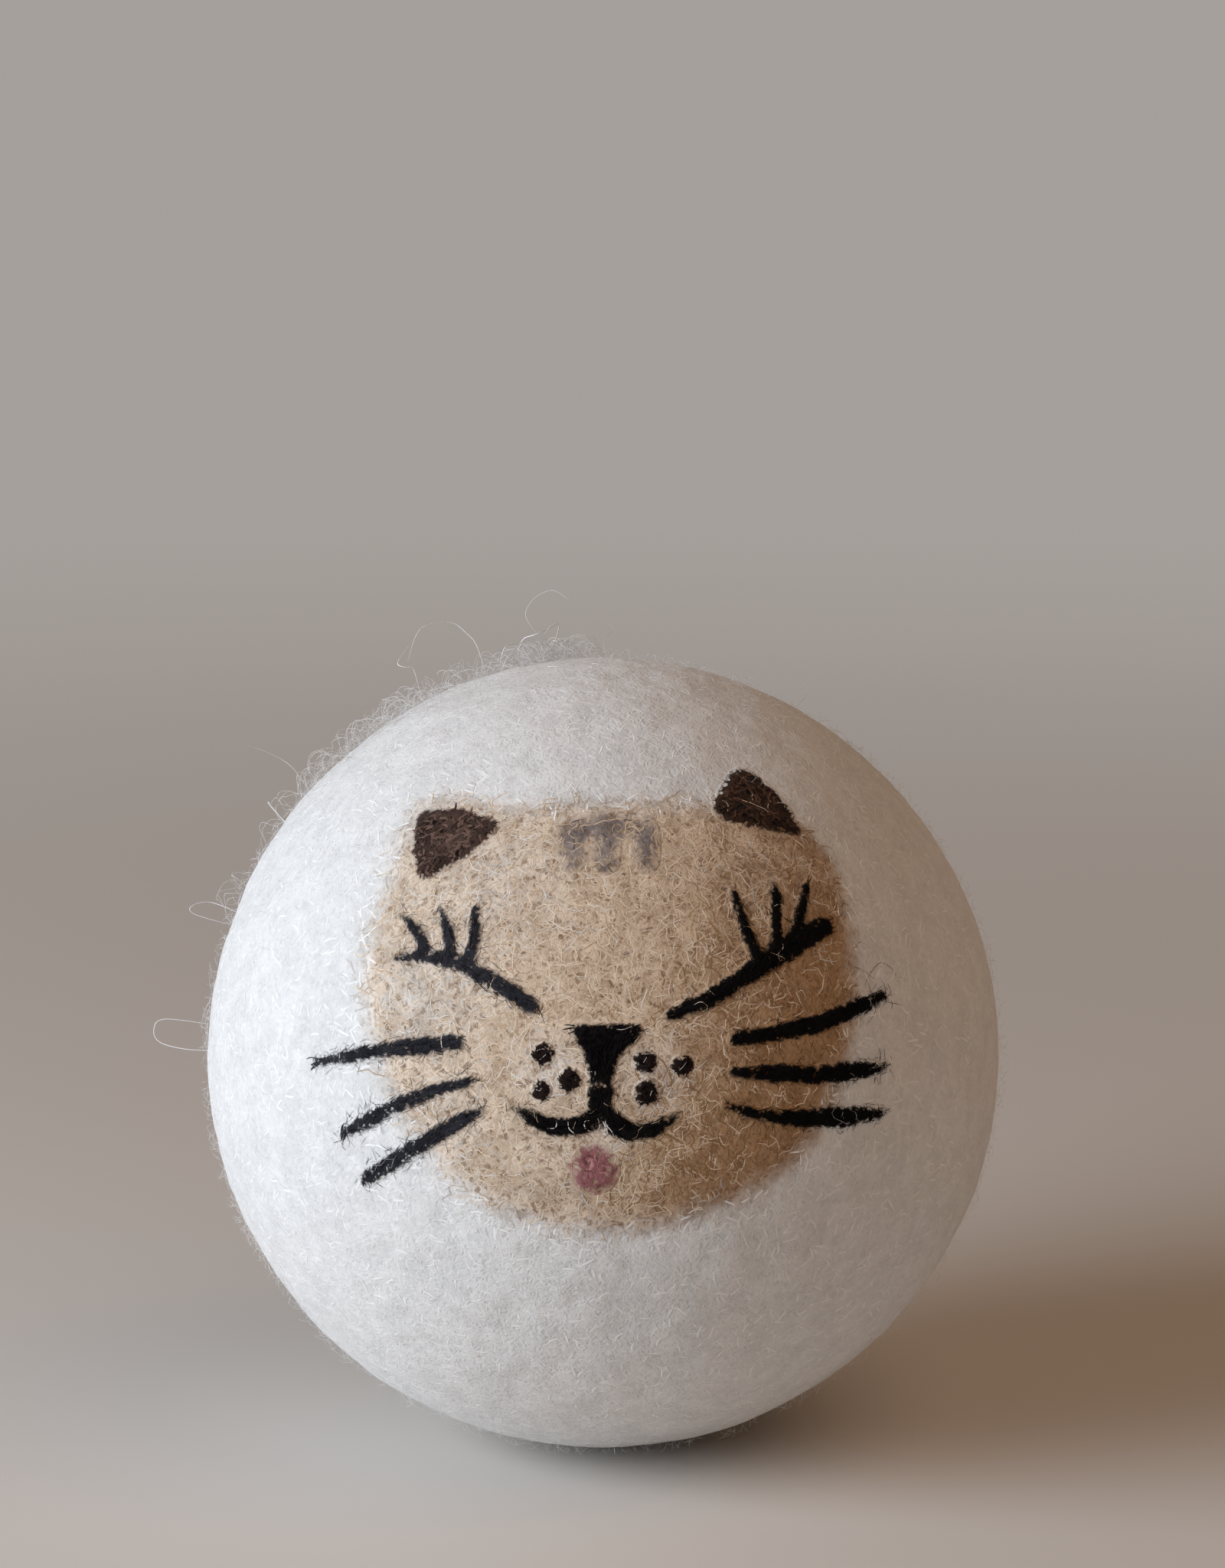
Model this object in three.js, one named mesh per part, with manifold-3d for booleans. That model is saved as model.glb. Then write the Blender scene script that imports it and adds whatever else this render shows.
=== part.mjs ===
// A wool dryer ball with a sleeping cat's face needle-felted into its front.
// Millimetres, +Z up. The origin is the ball's centre, and the face looks along -Y, tipped up a little.
//
// The white ball is felted first. Tufts of dyed wool are then needled into it one after another: a tan pad
// for the face, and on it the ears, the forehead mark, the nose, the mouth, the eyes, the freckles, the
// tongue and the whiskers. Each tuft sinks into what lies under it, and follows the ball's curve.

import * as THREE from "three";
import { mergeVertices } from "three/addons/utils/BufferGeometryUtils.js";
import Module from "manifold-3d";

const wasm = await Module();
wasm.setup();

// The ball
const BALL_DIAMETER = 70;
const UNEVENNESS = 0.3; // how far a hand-rolled ball strays from a true sphere
const FACE_TILT = 14; // degrees that the face looks up
const BALL_RADIUS = BALL_DIAMETER / 2;

// How deep the dyed wool is needled in, and how far it stands out of the ball
const TUFT_DEPTH = 0.9;
const TUFT_RISE = 0.4;
const WOOL_GAP = 0.3; // clearance between a tuft and the pocket that it is needled into
const PAD_BACKING = 0.8; // tan wool left under a tuft
const PAD_DEPTH = TUFT_DEPTH + WOOL_GAP + PAD_BACKING;
const PAD_RISE = 0.2;

// Fineness of the facets
const BALL_DETAIL = 9; // cuts along each edge of the icosahedron
const OUTLINE_STEP = 2.5; // spacing of the points on a curved outline
const STROKE_STEPS = 4; // lengths along a curved line of wool
const ROUND_STEPS = 3; // sides of half a round end, or of a rounded corner
const MERGE_DISTANCE = 1e-4;

// The prisms that cut the tufts run along the ball's radii, between these shares of its radius. Their flat
// outer ends are so far off that they stay clear of the ball.
const PRISM_FROM = 0.5;
const PRISM_TO = 3;

// Places on the face are [right, up] in millimetres along the ball's surface, from the middle of the nose.
// The face is drawn by hand, so its two sides differ a little.
const FACE_OUTLINE = [
  [-9.5, 22.4], [-15.6, 24.6], [-18.9, 22.4], [-19.2, 17.0], [-21.4, 10.0], [-21.0, 3.0],
  [-18.0, -4.5], [-13.0, -11.2], [-6.0, -14.5], [2.0, -15.3], [9.5, -13.3], [16.6, -9.6],
  [20.3, -3.5], [22.4, 4.5], [22.4, 12.5], [20.0, 20.3], [16.0, 22.7], [4.0, 22.4],
];

const EAR_ROUNDING = 0.9;
const EAR_LEFT = [[-9.1, 20.6], [-13.6, 22.6], [-17.7, 23.0], [-17.6, 18.6], [-16.7, 15.5], [-12.4, 17.6]];
const EAR_RIGHT = [[18.8, 20.2], [17.4, 23.7], [14.2, 27.3], [12.6, 27.3], [10.2, 22.9], [10.2, 21.2]];

const MARK_TOP = 20.9;
const MARK_LEFT = -3.6;
const MARK_RIGHT = 4.5;
const MARK_BAND = 1.7;
const MARK_LEGS = [-2.8, 0.2, 3.6];
const MARK_LEG_WIDTH = 1.6;
const MARK_LEG_LENGTH = 5.2;

const NOSE_ROUNDING = 0.5;
const NOSE = [[-3.2, 2.3], [-1.6, 0.2], [-1.1, -2.6], [0.5, -2.6], [1.1, -0.3], [3.7, 2.3]];
const PHILTRUM = [[-0.3, -1.4], [-0.3, -5.6]];
const PHILTRUM_WIDTH = 1.9;
const LIP_LEFT = [[-0.6, -5.5], [-3.2, -6.4], [-5.5, -5.8], [-7.9, -4.5]];
const LIP_LEFT_WIDTHS = [1.5, 1.45, 1.4, 1.2, 0.6];
const LIP_RIGHT = [[0.3, -5.3], [1.5, -6.4], [3.3, -6.75], [6.2, -5.2]];
const LIP_RIGHT_WIDTHS = [1.4, 1.8, 1.4, 1.2, 0.6];

const LID_LEFT = [[-6.0, 3.9], [-10.6, 6.7], [-14.6, 8.4], [-18.7, 8.4]];
const LID_LEFT_WIDTHS = [1.4, 1.5, 1.2, 1.2, 0.6];
const LASHES_LEFT = [
  [[-15.5, 8.4], [-16.5, 10.8], [-18.4, 12.4]],
  [[-13.4, 8.0], [-13.6, 10.7], [-14.6, 12.9]],
  [[-11.9, 7.3], [-11.2, 9.8], [-11.2, 12.7]],
];
const LID_RIGHT = [[5.4, 3.0], [9.3, 4.75], [14.4, 8.1], [19.9, 11.4]];
const LID_RIGHT_WIDTHS = [0.8, 1.4, 1.5, 2.1, 1.8];
const LASHES_RIGHT = [
  [[13.5, 7.4], [12.2, 10.9], [11.3, 14.1]],
  [[14.7, 8.6], [15.2, 12.0], [15.2, 15.0]],
  [[16.4, 9.3], [17.5, 12.3], [18.5, 15.3]],
];
const LASH_WIDTHS = [1.15, 1.05, 0.6];

const FRECKLES_LEFT = [
  { at: [-5.1, -0.1], radius: 0.85 },
  { at: [-2.9, -2.3], radius: 0.9 },
  { at: [-5.3, -3.2], radius: 0.75 },
];
const FRECKLES_RIGHT = [
  { at: [3.4, -0.7], radius: 0.9 },
  { at: [6.5, -1.1], radius: 0.85 },
  { at: [3.6, -3.3], radius: 1.05 },
];
const TONGUE = { at: [-0.9, -9.9], radius: 1.85 };

// Each whisker's line and its widths, from the end by the nose outwards
const WHISKERS = {
  whisker_left_upper: {
    line: [[-12.6, 0.9], [-19.5, 0.25], [-27.3, -0.9]],
    widths: [1.3, 1.5, 1.3, 1.2, 0.8],
  },
  whisker_left_middle: {
    line: [[-11.3, -2.3], [-17.6, -4.25], [-24.3, -7.6]],
    widths: [0.7, 1.2, 1.2, 1.4, 0.9],
  },
  whisker_left_lower: {
    line: [[-10.6, -4.9], [-15.9, -7.9], [-22.1, -11.7]],
    widths: [0.7, 1.4, 1.5, 1.4, 1.3],
  },
  whisker_right_upper: {
    line: [[11.0, 1.1], [18.6, 2.5], [26.3, 5.4]],
    widths: [1.1, 1.4, 1.6, 1.5, 0.9],
  },
  whisker_right_middle: {
    line: [[10.8, -1.55], [18.6, -1.95], [26.4, -1.3]],
    widths: [0.7, 1.4, 1.5, 1.7, 0.7],
  },
  whisker_right_lower: {
    line: [[10.3, -4.45], [14.2, -5.5], [20.0, -5.8], [26.2, -5.65]],
    widths: [0.7, 0.9, 1.5, 1.9, 0.8],
  },
};

const WOOL = {
  white: 0xe6e3dd,
  tan: 0xc9a67c,
  brown: 0x4b362b,
  grey: 0x8a7f78,
  black: 0x1c1b1f,
  pink: 0xb4707a,
};

// Outlines on the face, as closed lists of points

const point = ([right, up]) => new THREE.Vector2(right, up);

// A closed curve through a few points.
function smoothOutline(places) {
  const path = new THREE.CatmullRomCurve3(places.map(([x, y]) => new THREE.Vector3(x, y, 0)), true);
  const steps = Math.ceil(path.getLength() / OUTLINE_STEP);
  return path.getSpacedPoints(steps).slice(0, -1).map((p) => new THREE.Vector2(p.x, p.y));
}

// A polygon with its corners rounded: each corner becomes a short curve between its two sides.
function roundedOutline(places, rounding) {
  const corners = places.map(point);
  const shape = new THREE.Shape();
  corners.forEach((corner, i) => {
    const before = corners.at(i - 1).clone().sub(corner);
    const after = corners[(i + 1) % corners.length].clone().sub(corner);
    const half = Math.abs(before.angle() - after.angle()) / 2;
    const back = Math.min(rounding / Math.abs(Math.tan(half)), before.length() / 2, after.length() / 2);
    const start = corner.clone().addScaledVector(before.normalize(), back);
    const end = corner.clone().addScaledVector(after.normalize(), back);
    if (i === 0) shape.moveTo(start.x, start.y);
    else shape.lineTo(start.x, start.y);
    shape.quadraticCurveTo(corner.x, corner.y, end.x, end.y);
  });
  shape.closePath();
  return shape.getPoints(ROUND_STEPS).slice(0, -1);
}

function roundOutline({ at, radius }) {
  const circle = new THREE.Path().absarc(...at, radius, 0, 2 * Math.PI);
  return circle.getPoints(ROUND_STEPS * 2).slice(0, -1);
}

// Evenly spaced values from the first number up to, but without, the last.
function steps(count, from, to) {
  return Array.from({ length: count }, (_, i) => THREE.MathUtils.lerp(from, to, i / count));
}

// A line of wool laid through a few places, with its widths at even steps along it, and round ends.
function strokeOutline(places, widths) {
  const path = new THREE.SplineCurve(places.map(point));
  const lengths = places.length > 2 ? STROKE_STEPS : 1; // a straight line needs only its ends
  const reach = (t) => {
    const place = t * (widths.length - 1);
    const step = Math.min(Math.floor(place), widths.length - 2);
    return THREE.MathUtils.lerp(widths[step], widths[step + 1], place - step) / 2;
  };
  const around = (t, turn) => {
    const along = path.getTangent(t).angle();
    const offset = new THREE.Vector2(reach(t), 0).rotateAround(new THREE.Vector2(), along + turn);
    return path.getPoint(t).add(offset);
  };
  const quarter = Math.PI / 2;
  return [
    ...steps(lengths, 0, 1).map((t) => around(t, -quarter)),
    ...steps(ROUND_STEPS, -quarter, quarter).map((turn) => around(1, turn)),
    ...steps(lengths, 1, 0).map((t) => around(t, quarter)),
    ...steps(ROUND_STEPS, quarter, 3 * quarter).map((turn) => around(0, turn)),
  ];
}

// An outline moved outwards all round by the same distance.
function grow(outline, distance) {
  const inside = THREE.ShapeUtils.isClockWise(outline) ? -1 : 1;
  return outline.map((here, i) => {
    const into = here.clone().sub(outline.at(i - 1)).normalize();
    const out = outline[(i + 1) % outline.length].clone().sub(here).normalize();
    const side = new THREE.Vector2(into.y + out.y, -into.x - out.x).normalize();
    const spread = Math.max(0.5, side.dot(new THREE.Vector2(into.y, -into.x)));
    return here.clone().addScaledVector(side, (inside * distance) / spread);
  });
}

// Solids

function toSolid(geometry) {
  const plain = new THREE.BufferGeometry().setAttribute("position", geometry.getAttribute("position"));
  if (geometry.index) plain.setIndex(geometry.index);
  const merged = mergeVertices(plain, MERGE_DISTANCE);
  return new wasm.Manifold(
    new wasm.Mesh({
      numProp: 3,
      vertProperties: merged.getAttribute("position").array,
      triVerts: new Uint32Array(merged.index.array),
    }),
  );
}

function toGeometry(solid) {
  const mesh = solid.getMesh();
  return new THREE.BufferGeometry()
    .setAttribute("position", new THREE.BufferAttribute(mesh.vertProperties, 3))
    .setIndex(new THREE.BufferAttribute(mesh.triVerts, 1))
    .toNonIndexed();
}

// The ball's radius in a direction: a few slow waves over a sphere.
function surfaceRadius(d) {
  const waves = [
    Math.sin(3.1 * d.x + 1.7 * d.y),
    Math.sin(2.7 * d.y - 2.2 * d.z + 1),
    Math.sin(3.4 * d.z + 1.3 * d.x + 2),
  ];
  return BALL_RADIUS + (UNEVENNESS * (waves[0] + waves[1] + waves[2])) / waves.length;
}

// The direction from the ball's centre to a place on the face.
function direction(right, up) {
  const arc = Math.hypot(right, up);
  const angle = arc / BALL_RADIUS;
  const spread = arc > 0 ? Math.sin(angle) / arc : 0;
  return new THREE.Vector3(right * spread, up * spread, Math.cos(angle));
}

function movePoints(geometry, move) {
  const position = geometry.getAttribute("position");
  const here = new THREE.Vector3();
  for (let i = 0; i < position.count; i++) {
    move(here.fromBufferAttribute(position, i));
    position.setXYZ(i, here.x, here.y, here.z);
  }
  return geometry;
}

// The ball with all its surface moved out or in.
function ballSolid(offset) {
  const sphere = new THREE.IcosahedronGeometry(1, BALL_DETAIL);
  return toSolid(movePoints(sphere, (p) => p.setLength(surfaceRadius(p.normalize()) + offset)));
}

// A prism over an outline, with its sides along the ball's radii.
function radialPrism(outline) {
  const flat = new THREE.ExtrudeGeometry(new THREE.Shape(outline), { depth: 1, bevelEnabled: false });
  flat.deleteAttribute("normal");
  flat.deleteAttribute("uv");
  const reach = (z) => BALL_RADIUS * THREE.MathUtils.lerp(PRISM_FROM, PRISM_TO, z);
  return toSolid(movePoints(flat, (p) => p.copy(direction(p.x, p.y).multiplyScalar(reach(p.z)))));
}

// A tuft made of one or more outlines, and the pocket that it needs in whatever lies under it.
function needle(outlines, depth, rise) {
  const joined = (list) => list.map(radialPrism).reduce((all, next) => all.add(next));
  const wool = joined(outlines).intersect(ballSolid(rise)).subtract(ballSolid(-depth));
  const room = joined(outlines.map((o) => grow(o, WOOL_GAP)));
  return { wool, pocket: room.subtract(ballSolid(-depth - WOOL_GAP)) };
}

const tuft = (...outlines) => needle(outlines, TUFT_DEPTH, TUFT_RISE);

function foreheadMark() {
  const line = (from, to, width) => strokeOutline([from, to], [width, width]);
  const inset = MARK_BAND / 2;
  const middle = MARK_TOP - inset;
  const foot = MARK_TOP - MARK_LEG_LENGTH + MARK_LEG_WIDTH / 2;
  const band = line([MARK_LEFT + inset, middle], [MARK_RIGHT - inset, middle], MARK_BAND);
  const legs = MARK_LEGS.map((right) => line([right, middle], [right, foot], MARK_LEG_WIDTH));
  return tuft(band, ...legs);
}

function closedEye(lid, lidWidths, lashes) {
  const lashLines = lashes.map((lash) => strokeOutline(lash, LASH_WIDTHS));
  return tuft(strokeOutline(lid, lidWidths), ...lashLines);
}

function mouth() {
  return tuft(
    strokeOutline(PHILTRUM, [PHILTRUM_WIDTH, PHILTRUM_WIDTH]),
    strokeOutline(LIP_LEFT, LIP_LEFT_WIDTHS),
    strokeOutline(LIP_RIGHT, LIP_RIGHT_WIDTHS),
  );
}

// The tufts in the order that they are needled in, each with its name and colour.
const tufts = [
  ["ear_left", WOOL.brown, tuft(roundedOutline(EAR_LEFT, EAR_ROUNDING))],
  ["ear_right", WOOL.brown, tuft(roundedOutline(EAR_RIGHT, EAR_ROUNDING))],
  ["forehead_mark", WOOL.grey, foreheadMark()],
  ["nose", WOOL.black, tuft(roundedOutline(NOSE, NOSE_ROUNDING))],
  ["mouth", WOOL.black, mouth()],
  ["eye_left", WOOL.black, closedEye(LID_LEFT, LID_LEFT_WIDTHS, LASHES_LEFT)],
  ["eye_right", WOOL.black, closedEye(LID_RIGHT, LID_RIGHT_WIDTHS, LASHES_RIGHT)],
  ...FRECKLES_LEFT.map((f, i) => [`freckle_left_${i + 1}`, WOOL.black, tuft(roundOutline(f))]),
  ...FRECKLES_RIGHT.map((f, i) => [`freckle_right_${i + 1}`, WOOL.black, tuft(roundOutline(f))]),
  ["tongue", WOOL.pink, tuft(roundOutline(TONGUE))],
  ...Object.entries(WHISKERS).map(([name, { line, widths }]) => [
    name,
    WOOL.black,
    tuft(strokeOutline(line, widths)),
  ]),
];

// Assembly. A tuft gives way to those needled in before it, and the pad and the ball have a pocket for each.

const dryerBall = new THREE.Group();
dryerBall.rotation.x = THREE.MathUtils.degToRad(90 - FACE_TILT);

function add(name, solid, color) {
  const material = new THREE.MeshStandardMaterial({ color, roughness: 1, metalness: 0 });
  const mesh = new THREE.Mesh(toGeometry(solid), material);
  mesh.name = name;
  dryerBall.add(mesh);
}

const face = needle([smoothOutline(FACE_OUTLINE)], PAD_DEPTH, PAD_RISE);
let ball = ballSolid(0).subtract(face.pocket);
let pad = face.wool;
let taken = null;
for (const [name, color, { wool, pocket }] of tufts) {
  add(name, taken ? wool.subtract(taken) : wool, color);
  taken = taken ? taken.add(pocket) : pocket;
  ball = ball.subtract(pocket);
  pad = pad.subtract(pocket);
}
add("face_pad", pad, WOOL.tan);
add("felt_ball", ball, WOOL.white);

export default dryerBall;
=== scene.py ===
"""Dresses the dryer ball: a felted white ball, a sleeping cat's face needled into it, and loose fibres."""

import math
from dataclasses import dataclass

import bmesh
import bpy
import numpy as np
from mathutils import Matrix, Vector, noise
from mathutils.bvhtree import BVHTree


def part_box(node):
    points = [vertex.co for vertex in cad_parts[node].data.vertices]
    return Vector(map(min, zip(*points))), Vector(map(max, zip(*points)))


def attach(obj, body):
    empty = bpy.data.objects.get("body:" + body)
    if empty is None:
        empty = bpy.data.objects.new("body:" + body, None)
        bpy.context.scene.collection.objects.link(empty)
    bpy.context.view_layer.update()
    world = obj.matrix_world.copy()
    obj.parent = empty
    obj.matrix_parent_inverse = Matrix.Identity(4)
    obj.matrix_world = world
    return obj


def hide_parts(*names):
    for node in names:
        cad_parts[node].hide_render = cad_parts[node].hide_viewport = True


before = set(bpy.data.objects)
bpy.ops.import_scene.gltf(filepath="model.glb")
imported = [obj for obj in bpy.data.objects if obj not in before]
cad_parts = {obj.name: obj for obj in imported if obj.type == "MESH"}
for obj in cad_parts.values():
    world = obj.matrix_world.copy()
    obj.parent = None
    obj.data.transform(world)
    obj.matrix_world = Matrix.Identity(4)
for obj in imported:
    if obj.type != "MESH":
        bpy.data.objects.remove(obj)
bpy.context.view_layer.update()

MM = 0.001  # sizes below are in millimetres, and Blender's are in metres
BODY = "root"

# The ball, as the solids have it
BALL_RADIUS = 35.0
UNEVENNESS = 0.3
FACE_TILT = math.radians(14)
FACE_RIGHT = np.array([1.0, 0.0, 0.0])
FACE_UP = np.array([0.0, math.sin(FACE_TILT), math.cos(FACE_TILT)])
FACE_OUT = np.array([0.0, -math.cos(FACE_TILT), math.sin(FACE_TILT)])
PAD_POCKET = 1.7  # the solid ball is hollowed deeper than this only under the face pad

# How the wool lies
PAD_RISE = 0.08
SUNK_EDGE = 0.25  # how far a tuft's edge dips under the surface round it
FLUSH = 0.03  # how far the worked-in rim of a tuft stands above the surface round it
UNDERSIDE = 0.9  # depth of a tuft's flat underside
WOOL_DEPTH = 0.16  # how far light spreads inside pale wool
HAZE_SPREAD = 0.9  # how far thin dyed wool strays round a hazy tuft
PAD_STEP = 0.4
PAD_MARGIN = 4.0
PAD_EDGE = 1.1  # how softly the pad thins out at its edge
PAD_FADE = 1.4  # how softly its tan fades there
PAD_RIM = 2.4  # how far in from its edge white wool is worked into it
TUFT_STEP = 0.16
TUFT_MARGIN = 1.6
GRAIN_REACH = 0.8  # how much of a tuft settles the way that its fibres run
BALL_LEVELS = 7  # how many times the ball's faces are split

# Random dents and ragged edges: how high or deep they are, their size in millimetres, and a seed
BALL_DENTS = [(0.13, 5.0, 3), (0.07, 2.0, 5)]
PAD_DENTS = [(0.07, 2.4, 9), (0.04, 1.1, 10)]
PAD_EDGES = [(0.16, 1.5, 7), (0.10, 0.7, 8)]
TUFT_DENTS = [(0.05, 0.5, 12)]
TUFT_EDGES = [(1.0, 0.8, 11), (0.7, 0.45, 13)]

# Strands
STRAND_STEP = 0.25
STRAND_SWAY = 1.2  # how far a strand that stands off the ball sways to and from the front
SWAY_TURNS = (1.3, 0.9)  # how fast it sways, in radians to a millimetre right and up
JUST_UNDER = 0.97  # a place on the ball starts at this share of its radius, and is lifted to the wool
RAY_START = 1.2  # a ray to the ground starts from this share of the radius
STRAND_TIP, STRAND_SWELL = 0.12, 1.5  # a strand's radius at its tips, and how it swells between them
STRAND_MAP_WIDTH = 0.04
STRAND_LENGTHS = (0.5, 1.4)  # shares of a nap's length
NAP_SHADES = (0.02, 0.95)  # shares of the way from a wool's dark shade to its light one
SINGLE_SHADES = (0.3, 0.95)
NAP_SEED = 21
SINGLE_SEED = 61

# Where loops of wool stand off the ball: degrees round its outline, spread in millimetres and thickness
LOOPS = [
    (98.5, 2.0, 1.4), (104.5, 1.0, 1.0), (113, 1.3, 0.9), (121, 1.5, 1.2), (129.5, 1.4, 1.1),
    (137, 0.9, 0.7), (143.5, 0.8, 0.5), (156, 0.8, 0.4), (160, 0.8, 0.3), (104, 4.5, 0.2),
    (120, 7.0, 0.25),
]

# Spots on the face, as millimetres right and up of the ball's middle, seen from the front, spread and weight:
# where white wool is worked into the tan, and where the dyed wool of a tuft thins out
PALE_SPOTS = [
    (-4.6, -1.6, 2.4, 0.8), (3.7, -1.8, 2.0, 0.75), (-15.5, 5.0, 5.0, 0.8), (-11.0, 14.0, 6.0, 0.6),
    (-13.5, -5.5, 4.0, 0.6), (-6.5, -9.0, 4.5, 0.35), (14.5, 15.0, 3.5, 0.25), (-0.2, -7.4, 1.6, 0.6),
    (-15.8, 20.0, 3.6, 0.9), (-9.0, 19.8, 2.6, 0.5),
]
THIN_SPOTS = [
    (-1.1, 19.6, 0.9, 0.8), (1.9, 19.6, 0.9, 0.8), (-2.8, 20.3, 1.0, 0.6), (0.2, 20.3, 1.0, 0.6),
    (3.4, 20.3, 1.0, 0.6), (-24.6, -0.8, 2.2, 0.2), (-22.2, -7.0, 1.2, 0.15), (-20.3, -10.7, 1.0, 0.1),
    (-17.2, 11.6, 0.9, 0.3), (-13.9, 12.2, 0.8, 0.2), (-17.7, 7.9, 1.2, 0.35), (-7.8, -4.6, 1.2, 0.6),
    (5.6, -4.9, 1.0, 0.4), (-3.2, 2.1, 0.8, 0.5), (-0.4, -5.9, 0.5, 0.6), (10.8, 13.5, 0.8, 0.2),
    (23.8, 4.9, 0.8, 0.3), (24.0, -1.2, 0.8, 0.4), (23.7, -5.1, 0.8, 0.35), (10.1, -4.4, 0.8, 0.3),
]
GOLD_FROM, GOLD_TO = -2.0, 16.0  # the pad's wool turns golden from the first of these places to the second
GOLD_SLANT = 0.35  # and sooner lower down, by this share of the height

# Single strands that show, as a thickness and places in millimetres right and up of the ball's middle, seen
# from the front. Places inside the outline lie on the surface, and places past it stand off the ball.
STRAY_STRANDS = [
    (0.13, [(-10.0, 33.4), (-8.7, 35.0), (-7.7, 35.9), (-7.2, 37.0), (-6.1, 37.3), (-4.1, 38.3)]),
    (0.11, [(-5.3, 37.3), (-4.8, 38.0), (-4.1, 38.3), (-4.2, 37.2), (-4.8, 35.9), (-5.4, 35.1)]),
    (0.10, [(-9.4, 34.2), (-8.9, 36.0), (-8.0, 36.6), (-6.6, 36.4), (-5.6, 35.6), (-5.0, 34.6)]),
    (0.08, [(-10.5, 33.6), (-11.4, 36.4), (-12.3, 37.5), (-13.8, 38.5), (-16.4, 37.8), (-17.5, 34.9)]),
    (0.08, [(-17.4, 36.5), (-18.4, 34.7), (-17.6, 34.3), (-17.0, 34.2), (-16.2, 31.2)]),
    (0.05, [(-6.0, 37.3), (-7.0, 39.0), (-6.2, 40.6), (-4.6, 41.3), (-3.2, 40.4)]),
    (0.08, [(-34.9, 0.2), (-37.0, 0.3), (-39.5, 0.9), (-40.1, 2.0), (-39.0, 3.0), (-34.8, 2.4)]),
    (0.07, [(-32.6, 12.4), (-35.0, 13.4), (-36.6, 13.1), (-36.4, 12.3), (-33.0, 11.4)]),
    (0.10, [(-28.4, 20.3), (-29.6, 21.8), (-30.0, 22.4), (-29.2, 21.4), (-28.2, 19.9)]),
    (0.05, [(-26.4, 22.9), (-27.8, 25.4), (-30.0, 26.8), (-32.0, 27.4)]),
    (0.05, [(0.4, 34.9), (0.0, 36.6), (0.8, 37.8), (0.2, 38.6)]),
    (0.05, [(17.0, 30.6), (18.2, 32.2), (17.6, 33.0)]),
]
WHITE_CROSSINGS = [
    (0.10, [(-1.9, -1.6), (-1.4, -1.6), (-0.7, -1.6), (-0.9, -2.1)]),
    (0.09, [(-4.0, -5.4), (-4.0, -6.2), (-4.8, -6.3)]),
    (0.09, [(-3.0, -5.5), (-2.9, -6.3), (-2.3, -6.8)]),
    (0.09, [(-1.0, -5.6), (-1.6, -5.7), (-1.6, -6.2), (-1.1, -6.6)]),
    (0.11, [(0.2, -5.3), (0.1, -5.9), (0.6, -6.5), (0.9, -7.2)]),
    (0.11, [(-0.6, -5.2), (-0.4, -6.2), (-1.0, -7.0)]),
    (0.15, [(-0.2, -5.6), (0.1, -6.2), (-0.1, -7.0)]),
    (0.14, [(0.4, -5.8), (0.2, -6.4), (0.5, -7.1)]),
    (0.14, [(-0.6, -6.6), (0.0, -6.8), (0.6, -7.0)]),
    (0.05, [(-5.8, -0.9), (-5.0, -0.3), (-4.5, 0.3)]),
    (0.05, [(-6.0, -0.2), (-5.3, 0.3), (-4.4, 0.2)]),
    (0.05, [(-6.0, -2.7), (-5.4, -3.2), (-5.1, -2.7)]),
    (0.05, [(2.3, -0.2), (3.5, -0.1), (4.5, -0.1)]),
    (0.05, [(3.1, -1.0), (3.4, -0.6), (3.6, -0.2)]),
    (0.05, [(3.8, -3.7), (3.9, -3.3), (4.1, -2.9)]),
    (0.05, [(5.8, -1.8), (6.5, -1.2), (7.0, -0.5)]),
    (0.08, [(0.4, 2.1), (1.5, 1.9), (2.5, 2.3)]),
    (0.07, [(2.4, 0.6), (2.8, 1.2), (3.2, 1.7)]),
]
CREAM_CROSSINGS = [
    (0.10, [(-13.6, 1.8), (-13.6, 0.9), (-13.5, 0.0)]),
    (0.08, [(-9.0, 6.5), (-9.5, 5.4), (-8.6, 5.0)]),
    (0.08, [(14.8, 9.3), (14.9, 8.7), (14.5, 8.2), (14.8, 7.3)]),
    (0.08, [(13.6, 8.4), (14.5, 8.1), (15.3, 7.7)]),
    (0.08, [(11.2, 10.1), (11.8, 10.5), (12.6, 10.2)]),
    (0.08, [(14.0, 12.1), (14.7, 12.4), (15.3, 12.1)]),
    (0.09, [(14.9, 6.9), (14.7, 5.8), (14.3, 4.7), (14.0, 3.1)]),
    (0.08, [(7.2, 3.8), (8.0, 4.2), (8.6, 3.7), (7.9, 3.3)]),
    (0.08, [(8.9, 6.9), (8.6, 5.4), (9.4, 4.6)]),
    (0.09, [(9.6, 22.0), (10.6, 21.4), (11.4, 21.4), (13.0, 20.8), (13.7, 20.3), (14.2, 19.4)]),
    (0.08, [(9.7, 21.4), (10.2, 21.1), (10.4, 20.7), (10.3, 20.0)]),
    (0.07, [(12.6, 22.1), (12.5, 21.4), (12.9, 21.0)]),
    (0.07, [(14.2, 21.4), (13.9, 21.0), (13.8, 20.4)]),
]
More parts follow.
